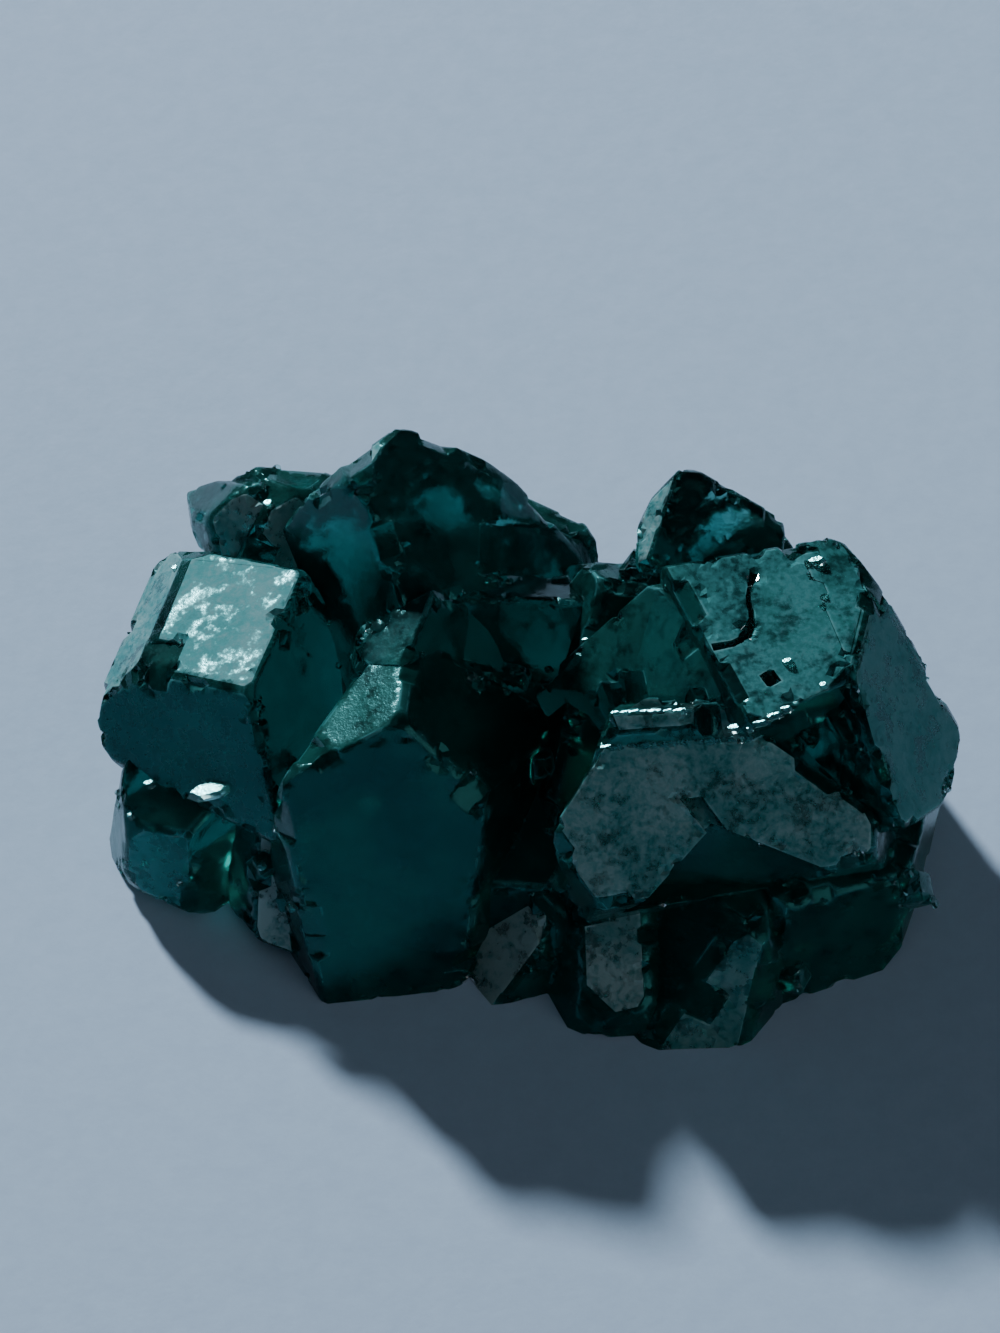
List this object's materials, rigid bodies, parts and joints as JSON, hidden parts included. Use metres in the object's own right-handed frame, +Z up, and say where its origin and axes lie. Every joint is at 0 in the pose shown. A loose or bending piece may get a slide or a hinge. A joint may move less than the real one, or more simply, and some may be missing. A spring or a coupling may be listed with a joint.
{
  "type": "dioptase crystal cluster",
  "caption": "Small free-lying cluster of intergrown emerald-green dioptase crystals with flat slanting faces, broken ledges and dark recesses, resting on a flat underside.",
  "frame": {"origin": "centre of the bounding box, on the flat underside", "axes": "+Z up, +X along the longest extent, and the pictured side faces -Y"},
  "size_m": [0.0178, 0.0118, 0.0087],
  "materials": {
    "dioptase": "translucent deep bluish-green crystal, with glassy, satin and frosted faces"
  },
  "bodies": {
    "root": {"crystal_cluster": "dioptase"}
  },
  "joints": []
}
